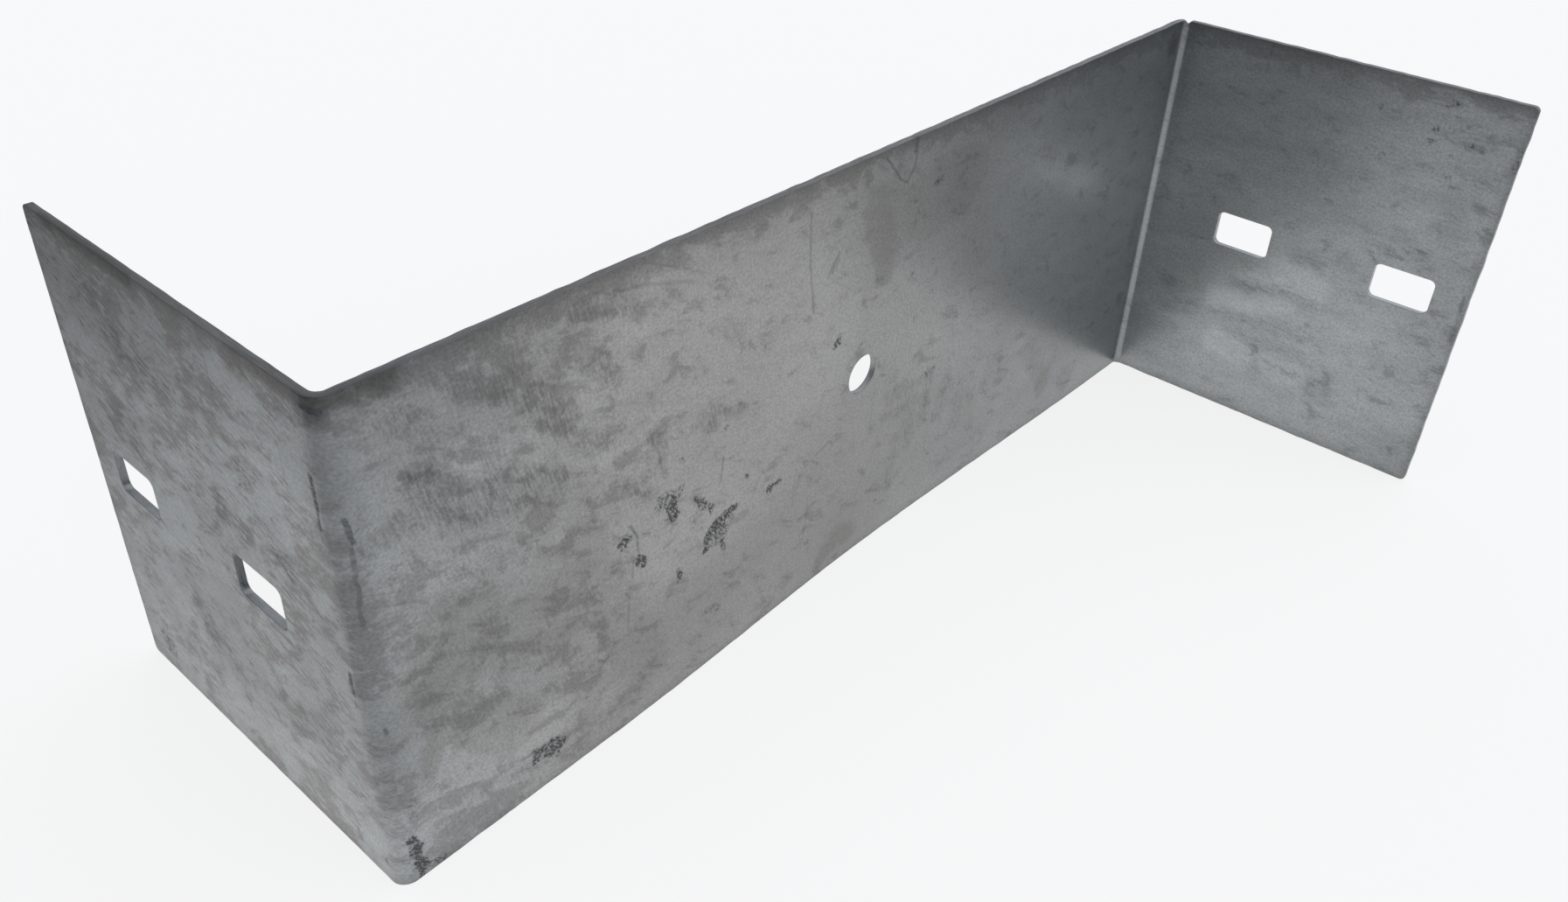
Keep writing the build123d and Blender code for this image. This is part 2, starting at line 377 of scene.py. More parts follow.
# hot-dip galvanised steel: sheet dipped in molten zinc, whose dull blue-grey coat is cloudy and mirrors its
# surroundings softly; wiping, run-off and knocks show as darker strokes, flat patches and dark specks
coat = {
    "seed": 4.0,
    "markedSide": 0.4,                   # mm from the sheet's middle at which its marked side begins
    "sideApart": 60.0,                   # stretches patterns through the sheet, so each side has its own
    "noise": {                           # size in mm and settings; marks stray from their lines by the first
        "stray": (2.2, {"Detail": 3}),
        "cloud": (26.0, {"Detail": 4}),
        "blotch": (13.0, {"Detail": 4, "Roughness": 0.6, "Distortion": 0.4}),
    },
    "wander": (4.0, 4.0, 0.0),           # how far marks stray, and how far scratches do
    "fineWander": (1.3, 1.3, 0.0),
    "feather": {"scratch": 0.26, "gouge": 0.9, "rub": 1.4, "stain": 1.3, "bright": 2.0, "shade": 3.6,
                "pale": 22.0, "dim": 16.0},
    "cloudTone": (0.26, 0.89),           # the clouds' share, and the tone where there are none
    "blotchRange": (0.36, 0.66),
    "bandSize": (34.0, 5.0, 20.0),       # length and height of the long bands
    "bandAngle": 8.0,
    "streakSize": (16.0, 2.2, 20.0),     # run-off streaks towards the right fold
    "streakAngle": -16.0,
    "streakRange": (20.0, 70.0),         # where along the web they come in
    "drawnDetail": 3,
    "topBand": 8.0,                      # the strip is darker and more worn this far under its top edge
    "topWear": 1.0,
    "rubWear": 0.6,
    "rimShade": 2.4,                     # how far the painted shade along a rolled cut edge reaches in from it
    # shade and rim are painted shade; pale and dim are partly the coat's own tone and partly painted light
    # and shade
    "toneChange": {"bands": -0.44, "streaks": -0.16, "top": -0.12, "stain": -0.30, "bright": 0.24,
                   "pale": 0.28, "dim": -0.30, "shade": -0.45, "lift": 0.14, "rim": -0.24},
    "share": {                           # how much of a pattern there is at each place along the strip
        "warmth": {-206: 0.0, -124: 0.2, -90: 0.8, -55: 1.0, 20: 0.8, 60: 0.4, 124: 0.1, 206: 0.15},
        "blotches": {-206: 0.85, -124: 0.9, -88: 0.85, -62: 0.4, -20: 0.25, 10: 0.30, 60: 0.25, 124: 0.05,
                     160: 0.05, 206: 0.35},
        "lift": {-206: 0.0, -124: 0.0, -60: 0.0, 20: 0.0, 60: 0.2, 121: 0.5, 124: 1.2, 206: 1.2},
        "banding": {-206: 0.4, -124: 0.5, -90: 0.4, -60: 0.2, 20: 0.2, 60: 0.5, 124: 0.7, 130: 1.0,
                    190: 1.0, 206: 0.6},
        "strokes": {-206: 2.2, -128: 1.9, -123: 0.35, -117: 0.35, -112: 0.8, -75: 0.7, -50: 0.3, 0: 0.3,
                    15: 0.7, 50: 0.6, 118: 0.3, 126: 0.3, 130: 0.5, 206: 0.8},
        "patches": {-206: 1.6, -126: 1.3, -121: 0.8, -75: 1.1, -50: 0.5, 30: 0.5, 124: 0.6, 206: 0.9},
    },
}


def makeMarkTree():
    # the strongest mark so far goes in and comes out with this mark counted too;
    # a mark is full within its width of its line and gone at its feather's end
    tree, add, given, result = newTree("coatMark", {
        "Float": ("before", "width", "feather", "strength"), "Vector": ("place", "start", "end")}, "Float")
    fromStart = add("ShaderNodeVectorMath", [given["place"], given["start"]], "SUBTRACT")
    line = add("ShaderNodeVectorMath", [given["end"], given["start"]], "SUBTRACT")
    along = add("ShaderNodeVectorMath", [fromStart, line], "DOT_PRODUCT")
    whole = add("ShaderNodeVectorMath", [line, line], "DOT_PRODUCT")
    part = add("ShaderNodeMath", [along.outputs["Value"], whole.outputs["Value"]], "DIVIDE", use_clamp=True)
    nearest = add("ShaderNodeVectorMath", {0: line, "Scale": part}, "SCALE")
    away = add("ShaderNodeVectorMath", [fromStart, nearest], "DISTANCE")
    past = add("ShaderNodeMath", [away.outputs["Value"], given["width"]], "SUBTRACT")
    depth = add("ShaderNodeMapRange", [past, given["feather"], 0, 0, given["strength"]],
                interpolation_type="SMOOTHSTEP")
    most = add("ShaderNodeMath", [given["before"], depth], "MAXIMUM")
    tree.links.new(most.outputs[0], result)
    return tree


def layMarks(add, markTree, kind, place):
    # all marks of one kind, the strongest one counting where they cross
    total = 0.0
    for face in ("web", "leftFlange", "rightFlange"):
        for width, strength, *points in marks[kind, face]:
            for start, end in zip(points, points[1:] or points):
                total = add("GeometryNodeGroup", {
                    "before": total, "place": place, "start": onStrip(face, start), "end": onStrip(face, end),
                    "width": width, "feather": coat["feather"][kind], "strength": strength},
                    node_tree=markTree)
    return total


def drawnOut(add, place, seed, angle, size):
    # noise stretched along one direction
    turned = add("ShaderNodeVectorRotate", {"Vector": place, "Angle": math.radians(-angle)},
                 rotation_type="Z_AXIS")
    scaled = add("ShaderNodeVectorMath", [turned, size], "DIVIDE")
    return add("ShaderNodeTexNoise",
               {"Vector": scaled, "W": seed, "Scale": 1.0, "Detail": coat["drawnDetail"]},
               noise_dimensions="4D")


def makeCoatTree():
    # the coat's broad pattern and its marks, kept on the sheet's points for the material to read
    tree, add, given, result = newTree("zincCoat", {
        "Geometry": ("Geometry",), "Float": ("seed", "height"), "Material": ("zinc",)}, "Geometry")
    position = add("GeometryNodeInputPosition")
    inMillimetres = add("ShaderNodeVectorMath", {0: position, "Scale": 1 / mm}, "SCALE")
    along, fromMiddle, side = add("ShaderNodeSeparateXYZ", [inMillimetres]).outputs
    height = add("ShaderNodeMath", [given["height"], 0.5 / mm, fromMiddle], "MULTIPLY_ADD")
    front = add("ShaderNodeMath", [side, coat["markedSide"]], "GREATER_THAN")
    flat = add("ShaderNodeCombineXYZ", [along, height])
    apart = add("ShaderNodeMath", [side, coat["sideApart"]], "MULTIPLY")
    sheet = add("ShaderNodeCombineXYZ", [along, height, apart])
    noise = {}
    for name, (size, settings) in coat["noise"].items():
        noise[name] = add("ShaderNodeTexNoise",
                          {"Vector": sheet, "W": given["seed"], "Scale": 1 / size, **settings},
                          noise_dimensions="4D")
    strayed = add("ShaderNodeVectorMath", [noise["stray"].outputs["Color"], (0.5, 0.5, 0.5)], "SUBTRACT")
    softPlace = add("ShaderNodeVectorMath", [strayed, coat["wander"], flat], "MULTIPLY_ADD")
    finePlace = add("ShaderNodeVectorMath", [strayed, coat["fineWander"], flat], "MULTIPLY_ADD")
    markTree = makeMarkTree()
    laid = {}
    for kind in coat["feather"]:
        total = layMarks(add, markTree, kind, finePlace if kind == "scratch" else softPlace)
        laid[kind] = add("ShaderNodeMath", [total, front], "MULTIPLY")

    place = add("ShaderNodeMapRange", [along, -stripReach, stripReach])
    share = {}
    for name, levels in coat["share"].items():
        ramp = add("ShaderNodeValToRGB", [place])
        stops = sorted(levels.items())
        while len(ramp.color_ramp.elements) < len(stops):
            ramp.color_ramp.elements.new(0.5)
        for element, (at, level) in zip(ramp.color_ramp.elements, stops):
            element.position = (at + stripReach) / (2 * stripReach)
            element.color = (level, level, level, 1)
        share[name] = ramp

    bands = drawnOut(add, sheet, given["seed"], coat["bandAngle"], coat["bandSize"])
    banded = add("ShaderNodeMath", [bands, 0.5], "SUBTRACT")
    bandsThere = add("ShaderNodeMath", [banded, share["banding"]], "MULTIPLY")
    streaks = drawnOut(add, sheet, given["seed"], coat["streakAngle"], coat["streakSize"])
    towardsRight = add("ShaderNodeMapRange", [along, *coat["streakRange"]])
    streaksThere = add("ShaderNodeMath", [streaks, towardsRight], "MULTIPLY")
    fromTop = add("ShaderNodeMath", [given["height"], 1 / mm], "MULTIPLY")
    underTop = add("ShaderNodeMath", [fromTop, coat["topBand"]], "SUBTRACT")
    topBand = add("ShaderNodeMapRange", [height, underTop, fromTop], interpolation_type="SMOOTHSTEP")
    fromBottom = add("ShaderNodeMath", [fromTop, height], "SUBTRACT")
    fromEdge = add("ShaderNodeMath", [fromBottom, height], "MINIMUM")
    reach = add("ShaderNodeMath", [along], "ABSOLUTE")
    fromEnd = add("ShaderNodeMath", [stripReach, reach], "SUBTRACT")
    inFromCut = add("ShaderNodeMath", [fromEdge, fromEnd], "MINIMUM")
    # painted shade: the face darkens towards each cut edge, where the zinc rolls over it
    rim = add("ShaderNodeMapRange", [inFromCut, coat["rimShade"], 0.0], interpolation_type="SMOOTHSTEP")
    patterns = {"bands": bandsThere, "streaks": streaksThere, "top": topBand, "lift": share["lift"],
                "rim": rim, **laid}
    clouded = add("ShaderNodeMath", [noise["cloud"], *coat["cloudTone"]], "MULTIPLY_ADD")
    changes = [(patterns[name], change) for name, change in coat["toneChange"].items()]
    tone = multiplied(add, clouded, changes)

    blotches = add("ShaderNodeMapRange", [noise["blotch"], *coat["blotchRange"]])
    blotchesThere = add("ShaderNodeMath", [blotches, share["blotches"]], "MULTIPLY")
    wear = blotchesThere
    for pattern, amount in ((laid["rub"], coat["rubWear"]), (topBand, coat["topWear"])):
        there = add("ShaderNodeMath", [pattern, amount], "MULTIPLY")
        wear = add("ShaderNodeMath", [wear, there], "MAXIMUM")

    geometry = given["Geometry"]
    for name, parts in (("sheetPlace", [along, height, apart]),
                        ("coatTone", [tone, share["warmth"], laid["stain"]]),
                        ("coatWear", [wear, laid["gouge"], laid["scratch"]]),
                        ("coatShare", [share["strokes"], share["patches"], laid["rub"]])):
        value = add("ShaderNodeCombineXYZ", parts)
        geometry = add("GeometryNodeStoreNamedAttribute",
                       {"Geometry": geometry, "Name": name, "Value": value},
                       data_type="FLOAT_VECTOR", domain="POINT")
    return endTree(tree, geometry, given["zinc"], result)


# each range says where on a noise, mark or place something comes in, and where it isn't from 0 to 1,
# also its value before and after
zinc = {
    "coolGrey": "#8f9394",
    "warmGrey": "#929190",
    "wornGrey": "#918a85",
    "olive": "#7d7b70",
    "dirt": "#2c2e2f",
    "metallic": 0.84,
    "roughness": 0.33,
    # worn patches, wiping strokes and the torn bits of zinc in a gouge: length and height in mm,
    # the degrees that they lean on the web, left flange and right flange, and how fine they are
    "mottle": {"size": (6.5, 3.8, 20.0), "turn": (20.0, -18.0, 4.0),
               "noise": {"Detail": 6, "Roughness": 0.66, "Distortion": 0.5}},
    "stroke": {"size": (0.6, 3.8, 1.0), "turn": (-14.0, -72.0, -86.0),
               "noise": {"Detail": 3, "Roughness": 0.65}},
    "fleck": {"size": (0.5, 1.1, 1.0), "turn": (-40.0, -60.0, -20.0),
              "noise": {"Detail": 3, "Roughness": 0.75}},
    "grainSize": 0.55,                   # mm; the real grain is taken to be about 0.2, too fine to show
    "grainNoise": {"Detail": 2, "Roughness": 0.65},
    "strokeLead": 0.22,                  # how far strokes shape the worn patches
    "wearLead": 0.24,                    # and how far wear spreads them
    "wornRange": (0.565, 0.695),
    "specks": (6.0, -2.5),               # makes sparse specks of the torn bits
    "speckRange": (0.0, 0.35),
    "gougeRange": (0.1, 0.7, 0.0, 0.9),
    "scratchRange": (0.42, 0.60, 1.0, 0.35),
    "pitRange": (0.29, 0.22, 0.0, 0.4),
    "rubRange": (0.46, 0.56),
    "cutRange": (43.0, 33.0),            # mm from the sheet's middle times sideApart
    # painted glints on the cut edge
    "glintRange": (0.56, 0.66, -1.25, 0.1),
    "cutMottle": 2.6,
    "grainShare": 2.2,
    "patternShare": 0.4,                 # of the patches, strokes and grain in the tone
    "toneChange": {"worn": -0.19, "gouge": -0.16, "rub": -0.30, "rubStrokes": -0.42},
    "brownShare": (0.4, 0.08),           # of wornGrey in worn patches, on the left flange and elsewhere
    "brownFade": 6.0,                    # mm of the left flange over which that changes
    "stainShare": 0.4,
    "roughnessChange": {"worn": 0.08, "stain": 0.05, "dirt": 0.25},
    "dirtMetallic": -0.7,
    "bumpStrength": 0.3,
    "bumpDepth": 0.05 * mm,
}


def makeZinc():
    material = bpy.data.materials.new("hotDipZinc")
    add = emptied(material)
    stored = {name: add("ShaderNodeAttribute", attribute_name=name).outputs["Vector"]
              for name in ("sheetPlace", "coatTone", "coatWear", "coatShare")}
    sheet = stored["sheetPlace"]
    along, _, side = add("ShaderNodeSeparateXYZ", [sheet]).outputs
    tone, warmth, stain = add("ShaderNodeSeparateXYZ", [stored["coatTone"]]).outputs
    wear, gouge, scratch = add("ShaderNodeSeparateXYZ", [stored["coatWear"]]).outputs
    strokes, patches, rub = add("ShaderNodeSeparateXYZ", [stored["coatShare"]]).outputs
    onLeft = add("ShaderNodeMath", [along, -foldCorner], "LESS_THAN")
    onRight = add("ShaderNodeMath", [along, foldCorner], "GREATER_THAN")

    # patches and strokes run another way on each face
    drawn = {}
    for name in ("mottle", "stroke", "fleck"):
        onWeb, left, right = [math.radians(angle) for angle in zinc[name]["turn"]]
        turn = add("ShaderNodeMath", [onLeft, left - onWeb, onWeb], "MULTIPLY_ADD")
        turn = add("ShaderNodeMath", [onRight, right - onWeb, turn], "MULTIPLY_ADD")
        turned = add("ShaderNodeVectorRotate", {"Vector": sheet, "Angle": turn}, rotation_type="Z_AXIS")
        scaled = add("ShaderNodeVectorMath", [turned, zinc[name]["size"]], "DIVIDE")
        drawn[name] = add("ShaderNodeTexNoise", {"Vector": scaled, "Scale": 1.0, **zinc[name]["noise"]})
    mottle, stroke, fleck = drawn.values()
    grain = add("ShaderNodeTexNoise",
                {"Vector": sheet, "Scale": 1 / zinc["grainSize"], **zinc["grainNoise"]})

    # worn where patches and strokes together pass a level that falls as the wear rises
    strokeLead = add("ShaderNodeMath", [stroke, mottle], "SUBTRACT")
    strokeShare = add("ShaderNodeMath", [strokes, zinc["strokeLead"]], "MULTIPLY")
    rough = add("ShaderNodeMath", [strokeLead, strokeShare, mottle], "MULTIPLY_ADD")
    passed = add("ShaderNodeMath", [wear, zinc["wearLead"], rough], "MULTIPLY_ADD")
    worn = add("ShaderNodeMapRange", [passed, *zinc["wornRange"]], interpolation_type="SMOOTHSTEP")
    # a gouge is a cluster of dark specks, and a scratch comes and goes
    specks = add("ShaderNodeMath", [fleck, *zinc["specks"]], "MULTIPLY_ADD")
    overSpecks = add("ShaderNodeMath", [gouge, specks], "SUBTRACT")
    speckled = add("ShaderNodeMapRange", [overSpecks, *zinc["speckRange"]])
    torn = add("ShaderNodeMapRange", [gouge, *zinc["gougeRange"]])
    gouged = add("ShaderNodeMath", [speckled, torn], "MULTIPLY")
    broken = add("ShaderNodeMapRange", [grain, *zinc["scratchRange"]])
    scratched = add("ShaderNodeMath", [scratch, broken], "MULTIPLY")
    pit = add("ShaderNodeMapRange", [grain, *zinc["pitRange"]])
    dirt = add("ShaderNodeMath", [gouged, scratched], "MAXIMUM")
    dirt = add("ShaderNodeMath", [dirt, pit], "MAXIMUM")
    # a rubbed spot is a small dull patch with a few upright strokes in it
    rubLine = add("ShaderNodeMapRange", [stroke, *zinc["rubRange"]])
    rubStrokes = add("ShaderNodeMath", [rub, rubLine], "MULTIPLY")
    # the bare cut edge is uneven, darker in places and lighter in others, with painted glints standing in for
    # its highlights
    offMiddle = add("ShaderNodeMath", [side], "ABSOLUTE")
    cut = add("ShaderNodeMapRange", [offMiddle, *zinc["cutRange"]])
    glint = add("ShaderNodeMapRange", [grain, *zinc["glintRange"]])
    cutToneAndGlint = add("ShaderNodeMath", [mottle, zinc["cutMottle"], glint], "MULTIPLY_ADD")

    changes = [(cut, cutToneAndGlint)]
    for pattern, amount in ((mottle, patches), (stroke, strokes), (grain, zinc["grainShare"])):
        offset = add("ShaderNodeMath", [0.5, pattern], "SUBTRACT")
        there = add("ShaderNodeMath", [offset, amount], "MULTIPLY")
        changes.append((there, zinc["patternShare"]))
    patterns = {"worn": worn, "gouge": gouge, "rub": rub, "rubStrokes": rubStrokes, "stain": stain,
                "dirt": dirt}
    changes += [(patterns[name], change) for name, change in zinc["toneChange"].items()]
    tone = multiplied(add, tone, changes)

    brown = add("ShaderNodeMapRange",
                [along, -foldCorner - zinc["brownFade"], -foldCorner, *zinc["brownShare"]])
    wornShare = add("ShaderNodeMath", [worn, brown], "MULTIPLY")
    oliveShare = add("ShaderNodeMath", [stain, zinc["stainShare"]], "MULTIPLY")
    colour = linear(zinc["coolGrey"])
    for amount, name in ((warmth, "warmGrey"), (wornShare, "wornGrey"), (oliveShare, "olive")):
        mixed = add("ShaderNodeMix", {"Factor": amount, 6: colour, 7: linear(zinc[name])}, data_type="RGBA")
        colour = mixed.outputs[2]
    toned = add("ShaderNodeVectorMath", {0: colour, "Scale": tone}, "SCALE")
    dirty = add("ShaderNodeMix", {"Factor": dirt, 6: toned, 7: linear(zinc["dirt"])}, data_type="RGBA")
    roughness = zinc["roughness"]
    for name, change in zinc["roughnessChange"].items():
        roughness = add("ShaderNodeMath", [patterns[name], change, roughness], "MULTIPLY_ADD")
    metallic = add("ShaderNodeMath", [dirt, zinc["dirtMetallic"], zinc["metallic"]], "MULTIPLY_ADD")
    bump = add("ShaderNodeBump",
               {"Height": grain, "Strength": zinc["bumpStrength"], "Distance": zinc["bumpDepth"]})
    shader = add("ShaderNodeBsdfPrincipled", {
        "Base Color": dirty.outputs[2], "Metallic": metallic, "Roughness": roughness, "Normal": bump})
    add("ShaderNodeOutputMaterial", {"Surface": shader})
    return material


zincMaterial = makeZinc()
print("zinc made,", len(zincMaterial.node_tree.nodes), "nodes")


def makeBlankTree():
    # the strip cut to size, its slots and hole punched, still flat
    tree, add, size, result = newTree("punchedBlank", {
        "Float": ("stripLength", "height", "thickness", "cornerRadius", "slotLength", "slotHeight",
                  "slotCorner", "slotSpacing", "firstSlot", "holeRadius", "holePlace"),
        "Int": ("slotsPerFlange",), "Material": ("zinc",)}, "Geometry")
    strip = add("GeometryNodeCurvePrimitiveQuadrilateral",
                {"Width": size["stripLength"], "Height": size["height"]})
    outline = add("GeometryNodeFilletCurve",
                  {"Curve": strip, "Count": plate["cornerSteps"], "Radius": size["cornerRadius"]},
                  mode="POLY")
    slot = add("GeometryNodeCurvePrimitiveQuadrilateral",
               {"Width": size["slotLength"], "Height": size["slotHeight"]})
    punch = add("GeometryNodeFilletCurve",
                {"Curve": slot, "Count": plate["cornerSteps"], "Radius": size["slotCorner"]}, mode="POLY")
    firstPlace = add("ShaderNodeCombineXYZ", [size["firstSlot"]])
    step = add("ShaderNodeCombineXYZ", [size["slotSpacing"]])
    rightRow = add("GeometryNodeMeshLine",
                   {"Count": size["slotsPerFlange"], "Start Location": firstPlace, "Offset": step})
    leftRow = add("GeometryNodeTransform", {"Geometry": rightRow, "Scale": (-1, 1, 1)})
    rows = add("GeometryNodeJoinGeometry", [rightRow])
    tree.links.new(leftRow.outputs[0], rows.inputs[0])
    punches = add("GeometryNodeInstanceOnPoints", {"Points": rows, "Instance": punch})
    slots = add("GeometryNodeRealizeInstances", [punches])
    bore = add("GeometryNodeCurvePrimitiveCircle",
               {"Resolution": plate["holeSteps"], "Radius": size["holeRadius"]}, mode="RADIUS")
    borePlace = add("ShaderNodeCombineXYZ", [size["holePlace"]])
    hole = add("GeometryNodeTransform", {"Geometry": bore, "Translation": borePlace})
    outlines = add("GeometryNodeJoinGeometry", [outline])
    tree.links.new(slots.outputs[0], outlines.inputs[0])
    tree.links.new(hole.outputs[0], outlines.inputs[0])
    face = add("GeometryNodeFillCurve", [outlines], mode="NGONS")
    raised = add("GeometryNodeExtrudeMesh",
                 {"Mesh": face, "Offset Scale": size["thickness"], "Individual": False})
    underside = add("GeometryNodeFlipFaces", [face])
    closed = add("GeometryNodeJoinGeometry", [raised])
    tree.links.new(underside.outputs[0], closed.inputs[0])
    welded = add("GeometryNodeMergeByDistance", {"Geometry": closed, "Distance": plate["weldDistance"]})
    half = add("ShaderNodeMath", [size["thickness"], -0.5], "MULTIPLY")
    down = add("ShaderNodeCombineXYZ", {"Z": half})
    centred = add("GeometryNodeTransform", {"Geometry": welded, "Translation": down})
    return endTree(tree, centred, size["zinc"], result)


def makeFoldTree():
    # the flat strip folded into its Z, with the bow that the web has along its lower edge
    tree, add, size, result = newTree("foldedStrip", {
        "Geometry": ("Geometry",),
        "Float": ("halfWeb", "halfStrip", "bendRadius", "height", "bowDepth", "bowFrom", "bowPeak", "bowTo",
                  "bowFade", "edgeStray", "edgeRipple", "edgeBand", "notchPlace", "notchWidth",
                  "notchDepth"),
        "Material": ("zinc",)}, "Geometry")
    position = add("GeometryNodeInputPosition")
    flatX, flatY, flatZ = add("ShaderNodeSeparateXYZ", [position]).outputs
    # the sheared edges stray in and out, most on the edge itself and nothing a little way in from it
    rippled = add("ShaderNodeCombineXYZ", [flatX, flatY])
    ripple = add("ShaderNodeVectorMath", [rippled, size["edgeRipple"]], "DIVIDE")
    waves = add("ShaderNodeTexNoise", {"Vector": ripple, "Scale": 1.0, "Detail": 3})
    wave = add("ShaderNodeMath", [waves, 0.5], "SUBTRACT")
    offset = add("ShaderNodeMath", [wave, size["edgeStray"]], "MULTIPLY")
    halfHeight = add("ShaderNodeMath", [size["height"], 0.5], "MULTIPLY")
    inY = add("ShaderNodeMath", [halfHeight, size["edgeBand"]], "SUBTRACT")
    awayY = add("ShaderNodeMath", [flatY], "ABSOLUTE")
    onEdge = add("ShaderNodeMapRange", [awayY, inY, halfHeight])
    strayY = add("ShaderNodeMath", [offset, onEdge, flatY], "MULTIPLY_ADD")
    inX = add("ShaderNodeMath", [size["halfStrip"], size["edgeBand"]], "SUBTRACT")
    awayX = add("ShaderNodeMath", [flatX], "ABSOLUTE")
    onEnd = add("ShaderNodeMapRange", [awayX, inX, size["halfStrip"]])
    # the nick
    notchAt = add("ShaderNodeMath", [size["halfWeb"], size["notchPlace"]])
    fromNotch = add("ShaderNodeMath", [flatX, notchAt], "SUBTRACT")
    awayNotch = add("ShaderNodeMath", [fromNotch], "ABSOLUTE")
    inNotch = add("ShaderNodeMapRange", [awayNotch, size["notchWidth"], 0.0],
                  interpolation_type="SMOOTHSTEP")
    atTop = add("ShaderNodeMapRange", [flatY, inY, halfHeight])
    nick = add("ShaderNodeMath", [inNotch, atTop], "MULTIPLY")
    nicked = add("ShaderNodeMath", [nick, size["notchDepth"]], "MULTIPLY")
    edgeY = add("ShaderNodeMath", [strayY, nicked], "SUBTRACT")
    # how far round the fold a place is, and how far past it
    side = add("ShaderNodeMath", [flatX], "SIGN")
    reach = add("ShaderNodeMath", [offset, onEnd, awayX], "MULTIPLY_ADD")
    beyond = add("ShaderNodeMath", [reach, size["halfWeb"]], "SUBTRACT")
    pastWeb = add("ShaderNodeMath", [beyond, 0.0], "MAXIMUM")
    swept = add("ShaderNodeMath", [pastWeb, size["bendRadius"]], "DIVIDE")
    turn = add("ShaderNodeMath", [swept, math.pi / 2], "MINIMUM")
    arc = add("ShaderNodeMath", [turn, size["bendRadius"]], "MULTIPLY")
    pastFold = add("ShaderNodeMath", [pastWeb, arc], "SUBTRACT")
    sine = add("ShaderNodeMath", [turn], "SINE")
    cosine = add("ShaderNodeMath", [turn], "COSINE")
    # the sheet's middle there, then out along the sheet's own normal
    straight = add("ShaderNodeMath", [reach, size["halfWeb"]], "MINIMUM")
    outward = add("ShaderNodeMath", [sine, size["bendRadius"], straight], "MULTIPLY_ADD")
    middleX = add("ShaderNodeMath", [outward, side], "MULTIPLY")
    rise = add("ShaderNodeMath", [1.0, cosine], "SUBTRACT")
    depth = add("ShaderNodeMath", [rise, size["bendRadius"], pastFold], "MULTIPLY_ADD")
    turned = add("ShaderNodeMath", [side, -1.0], "MULTIPLY")
    middleY = add("ShaderNodeMath", [depth, turned], "MULTIPLY")
    offsetX = add("ShaderNodeMath", [sine, flatZ], "MULTIPLY")
    offsetY = add("ShaderNodeMath", [cosine, flatZ], "MULTIPLY")
    foldedX = add("ShaderNodeMath", [middleX, offsetX], "SUBTRACT")
    foldedY = add("ShaderNodeMath", [middleY, offsetY], "SUBTRACT")
    foldedZ = add("ShaderNodeMath", [size["height"], 0.5, edgeY], "MULTIPLY_ADD")
    # bow: nothing at its two ends and at the top edge, most at its peak on the lower edge
    climb = add("ShaderNodeMapRange", [flatX, size["bowFrom"], size["bowPeak"]],
                interpolation_type="SMOOTHSTEP")
    descent = add("ShaderNodeMapRange", [flatX, size["bowTo"], size["bowPeak"]],
                  interpolation_type="SMOOTHSTEP")
    hump = add("ShaderNodeMath", [climb, descent], "MINIMUM")
    fromTop = add("ShaderNodeMapRange", [foldedZ, size["height"], 0.0])
    fade = add("ShaderNodeMath", [fromTop, size["bowFade"]], "POWER")
    shape = add("ShaderNodeMath", [hump, fade], "MULTIPLY")
    bowedY = add("ShaderNodeMath", [shape, size["bowDepth"], foldedY], "MULTIPLY_ADD")
    folded = add("ShaderNodeCombineXYZ", [foldedX, bowedY, foldedZ])
    moved = add("GeometryNodeSetPosition", {"Geometry": size["Geometry"], "Position": folded})
    smooth = add("GeometryNodeSetShadeSmooth", [moved])
    return endTree(tree, smooth, size["zinc"], result)


def cutGrid(bm):
    # columns and rows, so that the strip can fold and bow
    columns = []
    for i in range(plate["foldSteps"] + 1):
        at = halfWebFlat + foldLength * i / plate["foldSteps"]
        columns += [-at, at]
    webColumns = round(2 * halfWebFlat / plate["columnPitch"])
    columns += [-halfWebFlat + 2 * halfWebFlat * i / webColumns for i in range(1, webColumns)]
    flangeColumns = round(flangeFlat / plate["columnPitch"])
    for i in range(1, flangeColumns):
        at = halfWebFlat + foldLength + flangeFlat * i / flangeColumns
        columns += [-at, at]
    rowCount = round(plate["height"] / plate["rowPitch"])
    rows = [-plate["height"] / 2 + plate["height"] * i / rowCount for i in range(1, rowCount)]
    for places, normal in ((columns, Vector((1, 0, 0))), (rows, Vector((0, 1, 0)))):
        for at in places:
            bmesh.ops.bisect_plane(bm, geom=bm.verts[:] + bm.edges[:] + bm.faces[:],
                                   dist=plate["cutTolerance"], plane_co=normal * at, plane_no=normal)


def refineUnderMarks(bm):
    # small marks are narrower than the mesh's pitch, so the faces that they cross are cut again
    front = plate["thickness"] / 2
    faces = [face for face in bm.faces
             if len(face.verts) == 4 and face.calc_center_median().z > front - plate["weldDistance"]]
    centres = KDTree(len(faces))
    for i, face in enumerate(faces):
        centres.insert(face.calc_center_median(), i)
    centres.balance()
    segments = []
    for (kind, face), rows in marks.items():
        for width, _, *points in rows:
            if width <= plate["widestCutMark"].get(kind, 0):
                places = [Vector(onStrip(face, point)) for point in points]
                segments += [(width, start, end) for start, end in zip(places, places[1:] or places)]
    crossed = set()
    for width, start, end in segments:
        steps = math.ceil((end - start).length) + 1
        for step in range(steps + 1):
            at = start.lerp(end, step / steps) * mm
            centre = Vector((at.x, at.y - plate["height"] / 2, front))
            near = centres.find_range(centre, width * mm + plate["columnPitch"] * plate["markReach"])
            crossed.update(i for _, i, _ in near)
    edges = {edge for i in crossed for edge in faces[i].edges}
    bmesh.ops.subdivide_edges(bm, edges=list(edges), cuts=plate["markCuts"], use_grid_fill=True)


